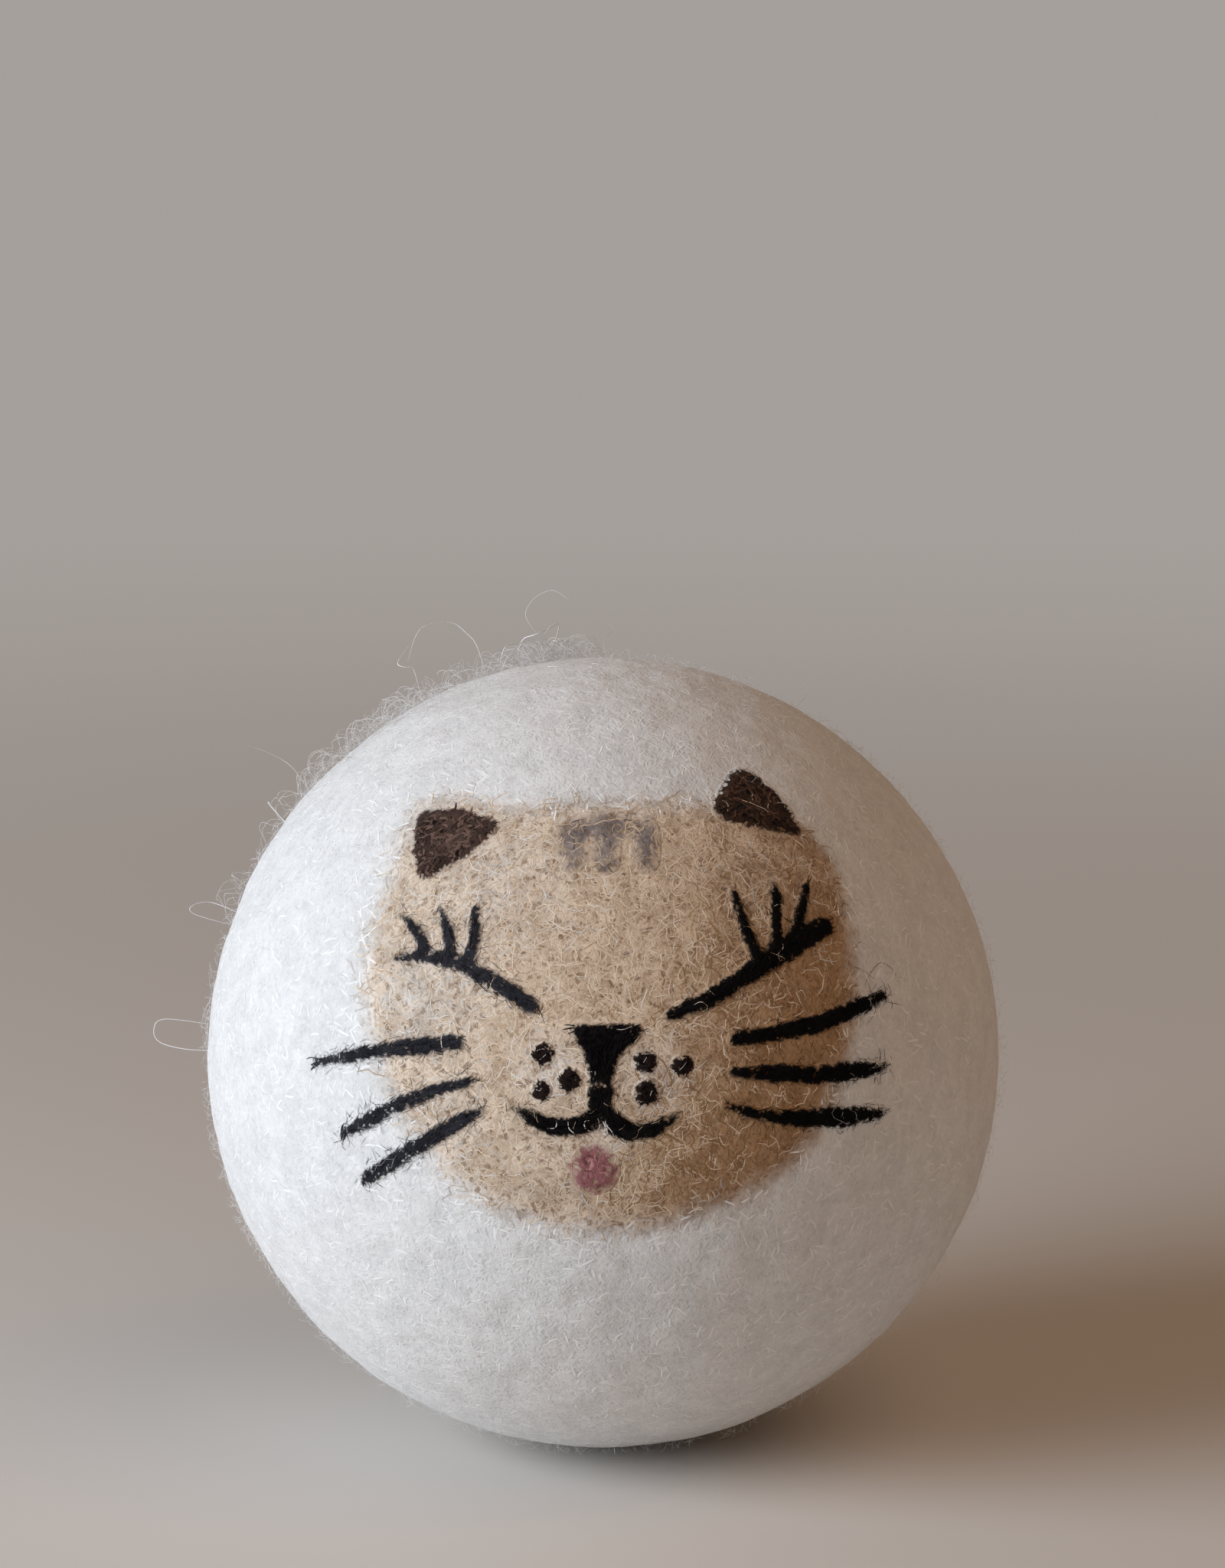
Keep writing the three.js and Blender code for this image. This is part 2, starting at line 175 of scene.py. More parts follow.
DARK_HAIRS = [
    (0.05, [(21.8, 5.0), (22.4, 6.4), (23.4, 7.6), (24.4, 7.2), (25.0, 6.4), (25.8, 6.6)]),
    (0.05, [(23.6, 4.4), (24.6, 4.2), (25.6, 4.0)]),
    (0.16, [(-3.6, 1.9), (-3.0, 2.0), (-2.3, 2.1)]),
    (0.12, [(-3.5, 2.3), (-2.9, 2.3), (-2.2, 2.2)]),
    (0.12, [(-3.2, 1.5), (-2.7, 1.7), (-2.2, 1.9)]),
    (0.06, [(23.5, 6.3), (23.8, 5.7), (23.9, 4.8)]),
    (0.06, [(24.0, 6.0), (24.3, 5.4), (24.4, 4.7)]),
    (0.07, [(24.3, 4.6), (24.5, 4.1), (24.4, 3.6)]),
    (0.05, [(23.1, 4.5), (22.9, 3.3), (22.1, 2.3)]),
    (0.05, [(22.4, 4.2), (22.1, 3.3), (21.8, 2.9)]),
    (0.06, [(23.2, 0.6), (23.4, 0.0), (23.4, -0.9)]),
    (0.06, [(23.7, 0.5), (23.8, -0.1), (23.8, -0.9)]),
    (0.07, [(24.2, -0.2), (24.4, -0.5), (24.3, -1.1)]),
    (0.06, [(23.4, -1.4), (23.4, -2.1), (23.3, -2.9)]),
    (0.06, [(22.8, -1.6), (22.9, -2.4), (22.8, -3.0)]),
    (0.05, [(21.0, -2.0), (21.1, -2.5), (20.9, -2.9)]),
    (0.09, [(23.9, -5.1), (24.4, -4.9), (24.7, -4.6)]),
    (0.06, [(23.1, -4.2), (23.2, -4.6), (23.2, -5.1)]),
    (0.06, [(21.0, -5.6), (21.2, -6.2), (21.0, -6.6)]),
]
GREYED_SHEEN_HAIRS = [
    (0.30, [(-21.9, -6.2), (-22.2, -6.9), (-22.4, -7.6)]),
    (0.26, [(-21.8, -6.4), (-22.0, -7.0), (-22.3, -7.7)]),
    (0.22, [(-22.1, -5.9), (-22.3, -6.4), (-22.3, -7.2)]),
    (0.07, [(-22.2, -7.4), (-22.5, -7.5), (-23.1, -7.7)]),
    (0.07, [(-22.2, -7.5), (-22.3, -7.9), (-21.9, -8.4)]),
    (0.20, [(-20.3, -10.3), (-20.4, -10.8), (-20.5, -11.5)]),
    (0.08, [(-20.1, -10.8), (-19.9, -11.3), (-20.0, -12.0)]),
    (0.07, [(-19.4, -10.8), (-19.2, -11.1), (-18.6, -11.5)]),
    (0.07, [(-20.3, -9.7), (-20.1, -9.2), (-20.0, -8.7)]),
    (0.30, [(-23.8, -0.7), (-24.5, -0.9), (-25.1, -1.1)]),
    (0.22, [(-24.0, -0.9), (-24.7, -1.2), (-25.1, -1.6)]),
    (0.10, [(-24.4, -0.5), (-25.0, -0.4), (-25.5, -0.6)]),
]

# The photograph's frame, and where the ball is in it
PHOTO_SIZE = (1600, 2048)
BALL_PIXEL = (789, 1375)
BALL_PIXEL_RADIUS = 514
CAMERA_DISTANCE = 520.0
CAMERA_ELEVATION = math.radians(14)
SENSOR = 36.0

# The room, in metres, and its lamps: a name, a place, a width, watts and a tint
BACKDROP = (0.38, 0.35, 0.33, 1.0)
FLOOR = (0.74, 0.70, 0.66, 1.0)
FLOOR_RADIUS = 3.0
FLOOR_SIDES = 64
FLOOR_FADE = (0.05, 0.55)  # how far from the ball the floor starts and ends to turn into the backdrop
ROOM_LIGHT = (0.144, 0.102, 0.071, 1.0)
LAMPS = [
    ("window on the left", (-0.50, -0.25, 0.19), 0.45, 3.4, (0.90, 1.0, 1.11)),
    ("warm fill on the right", (0.30, -0.20, 0.54), 0.5, 0.66, (1.0, 0.68, 0.47)),
]


# Node trees

class Socket:
    """A node's output. Arithmetic on it adds Math nodes to its tree."""

    def __init__(self, nodes, output):
        self.nodes = nodes
        self.output = output

    def __add__(self, other):
        return self.nodes.math("ADD", self, other)

    def __sub__(self, other):
        return self.nodes.math("SUBTRACT", self, other)

    def __rsub__(self, other):
        return self.nodes.math("SUBTRACT", other, self)

    def __mul__(self, other):
        return self.nodes.math("MULTIPLY", self, other)

    def __rtruediv__(self, other):
        return self.nodes.math("DIVIDE", other, self)

    def __pow__(self, other):
        return self.nodes.math("POWER", self, other)

    def __abs__(self):
        return self.nodes.math("ABSOLUTE", self, 0.0)

    __radd__ = __add__
    __rmul__ = __mul__


class Nodes:
    """A node tree that is filled one node at a time."""

    def __init__(self, tree):
        self.tree = tree
        self.tree.nodes.clear()

    def add(self, kind, settings=None, sockets=None, out=0):
        node = self.tree.nodes.new(kind)
        for name, value in (settings or {}).items():
            setattr(node, name, value)
        for key, value in (sockets or {}).items():
            if isinstance(value, Socket):
                self.tree.links.new(value.output, node.inputs[key])
            else:
                node.inputs[key].default_value = value
        return Socket(self, node.outputs[out]) if node.outputs else node

    def math(self, operation, a, b):
        return self.add("ShaderNodeMath", {"operation": operation}, {0: a, 1: b})

    def between(self, low, high, value):
        """How far a value lies between two others, from 0 to 1."""
        sockets = {"Value": value, "From Min": low, "From Max": high}
        return self.add("ShaderNodeMapRange", {"interpolation_type": "SMOOTHSTEP"}, sockets)

    def vector(self, operation, a, b=0.0):
        second = 3 if operation == "SCALE" else 1
        sockets = {0: a} if operation == "NORMALIZE" else {0: a, second: b}
        return self.add("ShaderNodeVectorMath", {"operation": operation}, sockets)

    def length(self, place):
        return self.add("ShaderNodeVectorMath", {"operation": "LENGTH"}, {0: place}, out="Value")

    def noise(self, place, scale, detail=2.0, out="Fac"):
        sockets = {"Vector": place, "Scale": scale, "Detail": detail}
        return self.add("ShaderNodeTexNoise", sockets=sockets, out=out)

    def blend(self, share, a, b):
        return self.add("ShaderNodeMix", {"data_type": "RGBA"}, {0: share, 6: a, 7: b}, out=2)

    def field(self, name, kind="FLOAT"):
        """One of a mesh's own fields, in a tree of geometry nodes."""
        return self.add("GeometryNodeInputNamedAttribute", {"data_type": kind}, {"Name": name})


# Wool

def colour(red, green, blue):
    return (red, green, blue, 1.0)


# The patterns in felt, as waves in a metre, and the sharpness and height of its tangled strands
LUMPS = 430.0
PITS = 1500.0
GLINTS = 1900.0
WORKED_EDGES = (1500.0, 520.0)
MATTING = ((760.0, 10.0, 0.7), (1150.0, 9.0, 0.85), (1650.0, 7.0, 1.0))

# Each wool's shades, from the hollows to the strands on top; the hollow shade is partly painted shade
WHITE = (colour(0.67, 0.665, 0.66), colour(0.90, 0.895, 0.885))
MUZZLE = (colour(0.38, 0.335, 0.295), colour(0.84, 0.775, 0.71))
PALE_STRANDS = (colour(0.46, 0.415, 0.375), colour(0.87, 0.82, 0.765))
BRIGHT = (colour(0.86, 0.855, 0.845), colour(0.96, 0.955, 0.945))
# Painted shade: the loops that stand off the ball are its white wool, given a darker shade than the other
# white fibres
SHADED_WISPY = (colour(0.66, 0.635, 0.62), colour(0.86, 0.84, 0.825))
TAN = (colour(0.39, 0.27, 0.175), colour(0.84, 0.665, 0.495))
TAN_STRANDS = (colour(0.47, 0.34, 0.23), colour(0.76, 0.595, 0.44))
GOLD = (colour(0.25, 0.13, 0.055), colour(0.53, 0.335, 0.185))
GOLD_STRANDS = (colour(0.26, 0.145, 0.062), colour(0.49, 0.315, 0.18))
CREAM = (colour(0.66, 0.52, 0.385), colour(0.88, 0.745, 0.60))
# Painted shade in part: the dark tan of the pad's pits, and of the flecks laid over it
PIT = (colour(0.26, 0.165, 0.10), colour(0.42, 0.29, 0.19))
BROWN = (colour(0.006, 0.003, 0.002), colour(0.13, 0.08, 0.064))
BROWN_STRANDS = (colour(0.03, 0.018, 0.014), colour(0.18, 0.11, 0.088))
DARK_BROWN = (colour(0.004, 0.002, 0.0015), colour(0.09, 0.047, 0.03))
DARK_BROWN_STRANDS = (colour(0.025, 0.013, 0.008), colour(0.12, 0.065, 0.042))
GREY = (colour(0.09, 0.072, 0.068), colour(0.40, 0.34, 0.32))
BLACK = (colour(0.0015, 0.0012, 0.0012), colour(0.013, 0.011, 0.012))
# Greyed black of the left lines: partly white wool worked in, partly a painted sheen from the brighter light
# on the left
GREYED_WITH_SHEEN = (colour(0.007, 0.007, 0.009), colour(0.055, 0.055, 0.066))
SOOT = (colour(0.003, 0.002, 0.002), colour(0.035, 0.021, 0.019))
PINK = (colour(0.10, 0.02, 0.025), colour(0.58, 0.26, 0.27))
PINK_STRANDS = (colour(0.20, 0.065, 0.07), colour(0.58, 0.29, 0.295))

# The wools of loose fibres, by their slots in the record
FIBRES = {
    "white_wool": {"white": BRIGHT, "wispy white": SHADED_WISPY, "pale": PALE_STRANDS},
    "tan_wool": {"tan": TAN_STRANDS, "dark tan": PIT, "golden": GOLD_STRANDS, "cream": CREAM},
    "black_wool": {"black": BLACK, "faded black": GREYED_WITH_SHEEN},
    "brown_wool": {"brown": BROWN_STRANDS, "dark brown": DARK_BROWN_STRANDS},
    "grey_wool": {"grey": GREY},
    "pink_wool": {"pink": PINK_STRANDS},
}


def new_material(name):
    """A new material, and its nodes."""
    material = bpy.data.materials.new(name)
    material.use_nodes = True
    return material, Nodes(material.node_tree)


def finish_wool(nodes, sheen, glow, varying):
    """Ends a material with the dull finish of wool, which may glow with the light inside it."""
    sockets = {
        "Roughness": 0.95,
        "Specular IOR Level": 0.05,
        "Sheen Weight": sheen,
        "Sheen Roughness": 0.5,
        "Subsurface Weight": glow,
        "Subsurface Radius": (1.0, 1.0, 1.0),
        "Subsurface Scale": WOOL_DEPTH * MM,
    }
    shader = nodes.add("ShaderNodeBsdfPrincipled", sockets={**sockets, **varying})
    nodes.add("ShaderNodeOutputMaterial", sockets={0: shader})


def matting(nodes, place):
    """The tangle of fine strands on felt, from 0 in its gaps to 1 on the topmost strands."""
    tangle = 0.0
    for scale, sharpness, height in MATTING:
        swirl = nodes.vector("SUBTRACT", nodes.noise(place, 0.5 * scale, out="Color"), (0.5, 0.5, 0.5))
        bent = nodes.vector("ADD", place, nodes.vector("SCALE", swirl, 0.9 / scale))
        strand = nodes.between(0.0, 1.0, 1.0 - abs(nodes.noise(bent, scale, 1.0) - 0.5) * sharpness)
        tangle = nodes.math("MAXIMUM", strand * height, tangle)
    return tangle


def felt(name, shades=None, raggedness=0.5, sheen=0.2, glow=0.0, fade=(0.25, 0.7)):
    """Felt seen close: the ball's white wool, tan where the face pad is, and a tuft's own dye over them."""
    material, nodes = new_material(name)
    place = nodes.add("ShaderNodeTexCoord", out="Object")
    tangle = matting(nodes, place)
    lumps = nodes.between(0.34, 0.66, nodes.noise(place, LUMPS, 3.0))
    # Painted glints: small bright specks that lighten the white felt
    glints = nodes.between(0.56, 0.70, nodes.noise(place, GLINTS))
    pits = nodes.between(0.54, 0.68, nodes.noise(place, PITS, 3.0))
    fine, coarse = WORKED_EDGES
    edge = (nodes.noise(place, fine, 3.0) + nodes.noise(place, coarse) - 1.0) * raggedness

    def amount(attribute):
        return nodes.add("ShaderNodeAttribute", {"attribute_name": attribute}, out="Fac")

    # Painted shade: felt darkens where it lies lower, in its tangle's gaps, its dents and the tan's pits,
    # besides its own tone
    white = nodes.blend(lumps * 0.3 + tangle * 0.35 + glints * 0.35, *WHITE)
    height_of_strand = tangle * 0.65 + lumps * 0.45 - 0.1
    tan, gold = (nodes.blend(height_of_strand, *shade) for shade in (TAN, GOLD))
    tan = nodes.blend(amount("gold"), tan, gold)
    tan = nodes.blend(amount("pale") * 0.85, tan, nodes.blend(height_of_strand, *MUZZLE))
    # Painted shade in the pits, which the bump also sets lower
    tan = nodes.blend(pits * 0.75, tan, PIT[0])
    tan_share = nodes.between(0.05, 0.95, amount("tan") + edge)
    wool = nodes.blend(tan_share, white, tan)
    if shades:
        own = nodes.blend(tangle * 0.5 + lumps * 0.25 - 0.15, *shades)
        worked_in = amount("dye") + edge + (tangle - 0.5) * raggedness
        wool = nodes.blend(nodes.between(*fade, worked_in), wool, own)
    height = lumps * 0.6 + tangle * 0.4 - pits * tan_share * 0.4
    bump = nodes.add("ShaderNodeBump", sockets={"Strength": 0.6, "Distance": 0.15 * MM, "Height": height})
    finish_wool(nodes, sheen, glow, {"Base Color": wool, "Normal": bump})
    return material


def loose_wool(name, slot, shades):
    """Single fibres. A strand's own map holds its shade across, and the way from root to tip upwards."""
    material, nodes = new_material(f"{name} fibres")
    strand = nodes.add("ShaderNodeUVMap", {"uv_map": "OFBake"})
    shade = nodes.add("ShaderNodeSeparateXYZ", sockets={0: strand})
    sheen = 0.0 if slot == "black_wool" else 0.05
    finish_wool(nodes, sheen, 0.0, {"Base Color": nodes.blend(shade, *shades)})
    return material


# Shapes on the ball

def surface_radius(directions):
    """The solid ball's radius in millimetres: a sphere with a few slow waves."""
    right, up, out = (directions @ axis for axis in (FACE_RIGHT, FACE_UP, FACE_OUT))
    waves = np.sin(3.1 * right + 1.7 * up)
    waves = waves + np.sin(2.7 * up - 2.2 * out + 1)
    waves = waves + np.sin(3.4 * out + 1.3 * right + 2)
    return BALL_RADIUS + UNEVENNESS * waves / 3


def view_place(right, up):
    """A place seen from the front: just under the surface inside the outline, and near its plane past it."""
    out = math.sqrt(max(BALL_RADIUS**2 - right**2 - up**2, 0))
    sway = 0 if out else STRAND_SWAY * math.sin(SWAY_TURNS[0] * right + SWAY_TURNS[1] * up)
    place = right * FACE_RIGHT + up * FACE_UP + (out + sway) * FACE_OUT
    return JUST_UNDER * place if out else place


def dents(directions, size, seed):
    """Slow random dents, from -1 to 1, about the given size in millimetres."""
    offset = Vector((seed, 2 * seed, 3 * seed))
    places = directions.reshape(-1, 3) * (BALL_RADIUS / size)
    values = [noise.noise(Vector(place) + offset) for place in places]
    return np.array(values).reshape(directions.shape[:-1])


def roughness(directions, waves):
    """Dents of several sizes together."""
    return sum(height * dents(directions, size, seed) for height, size, seed in waves)


def smooth_step(low, high, values):
    t = np.clip((values - low) / (high - low), 0, 1)
    return t * t * (3 - 2 * t)


def arcs(directions, middle):
    """How far some directions lie from another, in millimetres along the ball."""
    return np.arccos(np.clip(directions @ middle, -1, 1)) * BALL_RADIUS


def spotted(spots, directions):
    """The weight of the heaviest spot in some directions, fading round each spot's middle."""
    total = np.zeros(directions.shape[:-1])
    for middle, spread, weight in spots:
        total = np.maximum(total, weight * np.exp(-0.5 * (arcs(directions, middle) / spread) ** 2))
    return total


def face_spots(spots):
    """Spots on the face, with their middles as directions from the ball's centre."""
    return [(units(view_place(right, up)), spread, weight) for right, up, spread, weight in spots]


def soften(field, spread):
    """Blurs a grid of values, with the spread in grid steps."""
    reach = int(3 * spread) + 1
    weights = np.exp(-0.5 * (np.arange(-reach, reach + 1) / spread) ** 2)
    weights /= weights.sum()
    for axis in (0, 1):
        field = np.apply_along_axis(lambda line: np.convolve(line, weights)[reach:-reach], axis, field)
    return field


def solid_points(node):
    return np.array([v.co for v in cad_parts[node].data.vertices]) / MM


def solid_tree(node):
    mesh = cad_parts[node].data
    return BVHTree.FromPolygons([v.co for v in mesh.vertices], [p.vertices for p in mesh.polygons])


def units(vectors):
    return vectors / np.linalg.norm(vectors, axis=-1, keepdims=True)


class BallGrid:
    """A square grid that lies on the ball round a solid, with its points as directions from the centre."""

    def __init__(self, node, step, margin):
        points = units(solid_points(node))
        self.out = units(points.mean(0))
        self.right = units(np.cross(FACE_UP, self.out))
        self.up = np.cross(self.out, self.right)
        reach = arcs(points, self.out).max() + margin
        count = math.ceil(reach / step)
        self.step = step
        self.across = np.arange(-count, count + 1) * step
        self.x, self.y = np.meshgrid(self.across, self.across, indexing="ij")
        arc = np.maximum(np.hypot(self.x, self.y), 1e-9)
        sideways = np.sin(arc / BALL_RADIUS) / arc
        self.directions = (
            (self.x * sideways)[..., None] * self.right
            + (self.y * sideways)[..., None] * self.up
            + np.cos(arc / BALL_RADIUS)[..., None] * self.out
        )

    def first_met(self, tree):
        """How far from the centre a solid is first met from outside, in millimetres, or 0 where it isn't."""
        found = []
        for direction in self.directions.reshape(-1, 3):
            aim = Vector(direction)
            place = tree.ray_cast(aim * (2 * BALL_RADIUS * MM), -aim)[0]
            found.append(place.length / MM if place else 0.0)
        return np.array(found).reshape(self.x.shape)

    def read(self, field, directions):
        """A field's values in some directions, and 0 past the grid's edge."""
        angle = np.arccos(np.clip(directions @ self.out, -1, 1))
        stretch = angle * BALL_RADIUS / np.maximum(np.sin(angle), 1e-9)
        last = len(self.across) - 1
        cells = [(directions @ axis * stretch - self.across[0]) / self.step for axis in (self.right, self.up)]
        near = (angle < 1.5) & np.all([(cell >= 0) & (cell < last) for cell in cells], axis=0)
        i, j = (np.clip(cell, 0, last - 1).astype(int) for cell in cells)
        a, b = (np.clip(cell - whole, 0, 1) for cell, whole in zip(cells, (i, j)))
        low = field[i, j] * (1 - b) + field[i, j + 1] * b
        high = field[i + 1, j] * (1 - b) + field[i + 1, j + 1] * b
        return np.where(near, low * (1 - a) + high * a, 0)

    def grain(self, inside, spread):
        """The direction that a tuft runs in at each point, from the spread of its own points nearby."""
        weight = np.maximum(soften(inside, spread / self.step), 1e-9)

        def mean(values):
            return soften(inside * values, spread / self.step) / weight

        xx = mean(self.x**2) - mean(self.x) ** 2
        yy = mean(self.y**2) - mean(self.y) ** 2
        xy = mean(self.x * self.y) - mean(self.x) * mean(self.y)
        turn = 0.5 * np.arctan2(2 * xy, xx - yy)
        return np.cos(turn)[..., None] * self.right + np.sin(turn)[..., None] * self.up


class FacePad:
    """Where the tan pad lies, from the pocket that the solid ball has for it."""

    def __init__(self):
        self.grid = BallGrid("face_pad", PAD_STEP, PAD_MARGIN)
        floor = self.grid.first_met(solid_tree("felt_ball"))
        inside = (floor < surface_radius(self.grid.directions) - PAD_POCKET).astype(float)
        spreads = (PAD_EDGE, PAD_FADE, PAD_RIM)
        self.share, self.tint, self.rim = (soften(inside, spread / PAD_STEP) for spread in spreads)
        self.relief = self.lie(self.grid.directions)

    def lie(self, directions):
        """How far the pad's wool stands above the solid ball: thin at its ragged edge and uneven all over."""
        ragged = self.share + roughness(directions, PAD_EDGES)
        heights = (PAD_RISE + SUNK_EDGE) * smooth_step(0.1, 0.8, ragged) - SUNK_EDGE
        return heights + roughness(directions, PAD_DENTS) * self.share

    def pale(self, directions):
        """Where white wool is worked into the tan: at the pad's rim and in a few spots."""
        rim = 1 - smooth_step(0.45, 0.95, self.grid.read(self.rim, directions))
        rim_share = rim * (0.75 - 0.65 * self.gold(directions))
        return np.maximum(rim_share, spotted(face_spots(PALE_SPOTS), directions))

    def gold(self, directions):
        """How golden the tan is, towards the lower right."""
        slanted = FACE_RIGHT - GOLD_SLANT * FACE_UP
        return smooth_step(GOLD_FROM, GOLD_TO, directions @ slanted * BALL_RADIUS)

    def tints(self, directions):
        """The fields that every felt's colours read."""
        return {
            "tan": self.grid.read(self.tint, directions),
            "pale": self.pale(directions),
            "gold": self.gold(directions),
        }


def set_attributes(mesh, **fields):
    for name, values in fields.items():
        kind, field = ("FLOAT_VECTOR", "vector") if np.ndim(values) == 2 else ("FLOAT", "value")
        attribute = mesh.attributes.new(name, kind, "POINT")
        attribute.data.foreach_set(field, np.asarray(values, np.float32).ravel())


def new_object(name, data):
    made = bpy.data.objects.new(name, data)
    bpy.context.collection.objects.link(made)
    return made


def add_piece(name, mesh, material):
    """An object with a smooth mesh of one material."""
    mesh.materials.append(material)
    mesh.shade_smooth()
    return new_object(name, mesh)


def closed_patch(name, grid, shown, heights, material, **fields):
    """A closed pad over the grid's shown points, its top at the given heights and its underside flat."""
    index = np.full(shown.shape, -1)
    index[shown] = np.arange(shown.sum())
    corners = np.stack([index[:-1, :-1], index[1:, :-1], index[1:, 1:], index[:-1, 1:]], -1).reshape(-1, 4)
    used, top = np.unique(corners[(corners >= 0).all(1)], return_inverse=True)
    top = top.reshape(-1, 4)
    count = len(used)
    edges = [tuple(edge) for k in range(4) for edge in top[:, [k, (k + 1) % 4]]]
    there = set(edges)
    rim = np.array([(a, b) for a, b in edges if (b, a) not in there])
    walls = np.stack([rim[:, 1], rim[:, 0], rim[:, 0] + count, rim[:, 1] + count], -1)
    faces = np.concatenate([top, top[:, ::-1] + count, walls])
    directions = grid.directions[shown][used]
    radius = surface_radius(directions)
    upper = directions * (radius + heights[shown][used])[:, None]
    lower = directions * (radius - UNDERSIDE)[:, None]
    mesh = bpy.data.meshes.new(name)
    mesh.from_pydata((np.concatenate([upper, lower]) * MM).tolist(), [], faces.tolist())
    set_attributes(mesh, **pad.tints(np.concatenate([directions, directions])))
    for field, values in fields.items():
        values = values[shown][used]
        set_attributes(mesh, **{field: np.concatenate([values, np.zeros_like(values)])})
    return add_piece(name, mesh, material)


def make_pad():
    """The tan face pad."""
    grid = pad.grid
    pale = pad.pale(grid.directions)
    gold = pad.gold(grid.directions)
    nap = smooth_step(0.45, 1.0, pad.tint) * (1 - pale)
    fields = {
        "nap": nap * (1 - gold),
        "goldnap": nap * gold,
        "creamnap": smooth_step(0.3, 0.9, pad.tint) * (1 - 0.7 * gold) * (1 - pale),
        "palenap": smooth_step(0.1, 0.9, pad.tint) * pale,
        "white": 1 - smooth_step(0.2, 0.8, pad.tint),
        "grain": np.cross(grid.directions, FACE_RIGHT),
    }
    tan_felt = felt("tan felt", glow=0.6)
    return closed_patch("face_pad_wool", grid, pad.share > 0.04, pad.relief, tan_felt, **fields)


def fuzziness(directions):
    """How thickly fine wool stands on the ball: patchy all over."""
    return 0.5 + 0.9 * smooth_step(0.1, 0.6, dents(directions, 9.0, 4))


def loopiness(directions):
    """How thickly loops of wool stand off the ball, in a few places round its upper left."""
    spots = []
    for degrees, spread, thickness in LOOPS:
        turn = math.radians(degrees)
        spots.append((math.cos(turn) * FACE_RIGHT + math.sin(turn) * FACE_UP, spread, thickness))
    total = spotted(spots, directions)
    patchy = 0.25 + 1.2 * smooth_step(-0.1, 0.4, dents(directions, 2.0, 6))
    return np.where(total > 0.05, total * patchy, 0)


def ball_relief(directions):
    """How far the ball's wool stands above its solid: slow dents, and lower under the face pad."""
    covered = pad.grid.read(pad.share, directions)
    return roughness(directions, BALL_DENTS) - 0.15 * covered


def ground_relief(directions):
    """How far the topmost of the ball's wool and the pad's stands above the solid ball."""
    return np.maximum(ball_relief(directions), pad.grid.read(pad.relief + 1, directions) - 1)


def make_ball():
    """The white ball, with slow dents, and lower under the face pad."""
    shape = bmesh.new()
    bmesh.ops.create_icosphere(shape, subdivisions=BALL_LEVELS, radius=1.0)
    mesh = bpy.data.meshes.new("felt_ball_wool")
    shape.to_mesh(mesh)
    shape.free()
    directions = units(np.array([v.co for v in mesh.vertices]))
    radius = surface_radius(directions) + ball_relief(directions)
    mesh.vertices.foreach_set("co", (directions * radius[:, None] * MM).ravel())
    tint = pad.grid.read(pad.tint, directions)
    set_attributes(
        mesh,
        **pad.tints(directions),
        white=1 - smooth_step(0.2, 0.8, tint),
        fuzz=fuzziness(directions) * (1 - smooth_step(0.1, 0.5, tint)),
        loops=loopiness(directions),
        grain=np.cross(directions, FACE_RIGHT + 0.001),
    )
    return add_piece("felt_ball_wool", mesh, felt("white felt", glow=0.6))


def make_tuft(node, material, rise, feather, raggedness, haze=0.0, beside=()):
    """One tuft of dyed wool, worked into the surface where its solid is, and into the tufts beside it."""
    grid = BallGrid(node, TUFT_STEP, TUFT_MARGIN)
    inside = (grid.first_met(solid_tree(node)) > 0).astype(float)
    own_share = soften(inside, feather / TUFT_STEP)
    for neighbour in beside:
        inside = np.maximum(inside, grid.first_met(solid_tree(neighbour)) > 0)
    share = soften(inside, feather / TUFT_STEP)
    hazy = soften(inside, HAZE_SPREAD / TUFT_STEP)
    thick = 1 - spotted(face_spots(THIN_SPOTS), grid.directions)
    ragged = share + raggedness * roughness(grid.directions, TUFT_EDGES) * smooth_step(0, 0.3, share)
    heights = ground_relief(grid.directions) + FLUSH + rise * smooth_step(0.3, 0.95, ragged * thick)
    heights = heights + roughness(grid.directions, TUFT_DENTS) * share
    heights = heights - SUNK_EDGE * (1 - smooth_step(0.03, 0.12, own_share))
    fields = {
        "dye": (1 - haze) * ragged * thick + haze * hazy * smooth_step(0.02, 0.35, own_share),
        "nap": smooth_step(0.5, 0.9, share) * thick,
        "core": smooth_step(0.9, 1.0, share),
        "bare": smooth_step(0.02, 0.2, own_share) * (1 - smooth_step(0.3, 0.8, share * thick)),
        "edge": np.clip(4 * share * (1 - share), 0, 1),
        "grain": grid.grain(inside, GRAIN_REACH),
    }
    return closed_patch(f"{node}_wool", grid, own_share > 0.02, heights, material, **fields)


# Fibres

@dataclass
class Nap:
    """One kind of loose fibre: what it grows from, its wool, and its sizes in millimetres and degrees."""

    name: str
    roots: list
    wool: str
    density: float
    length: float
    thickness: float
    curl: float
    lift: float
    wave: float = 1.8
    flatness: float = 3.0
    loop: float = 0.0
    sunk: float = 0.0
    pressed: float = 1.0
    scatter: float = 180.0
    points: int = 5
    where: str = "nap"

    def inputs(self, seed, ground):
        """The values of the tree's inputs, in metres and radians."""
        numbers = {socket: getattr(self, socket.lower()) for socket in NAP_NUMBERS}
        for size in ("Length", "Thickness", "Lift", "Wave", "Sunk"):
            numbers[size] *= MM
        numbers["Scatter"] = math.radians(self.scatter)
        others = {"Points": self.points, "Where": self.where, "Wool": wools[self.wool]}
        return {**numbers, **others, "Ground": ground, "Seed": seed}


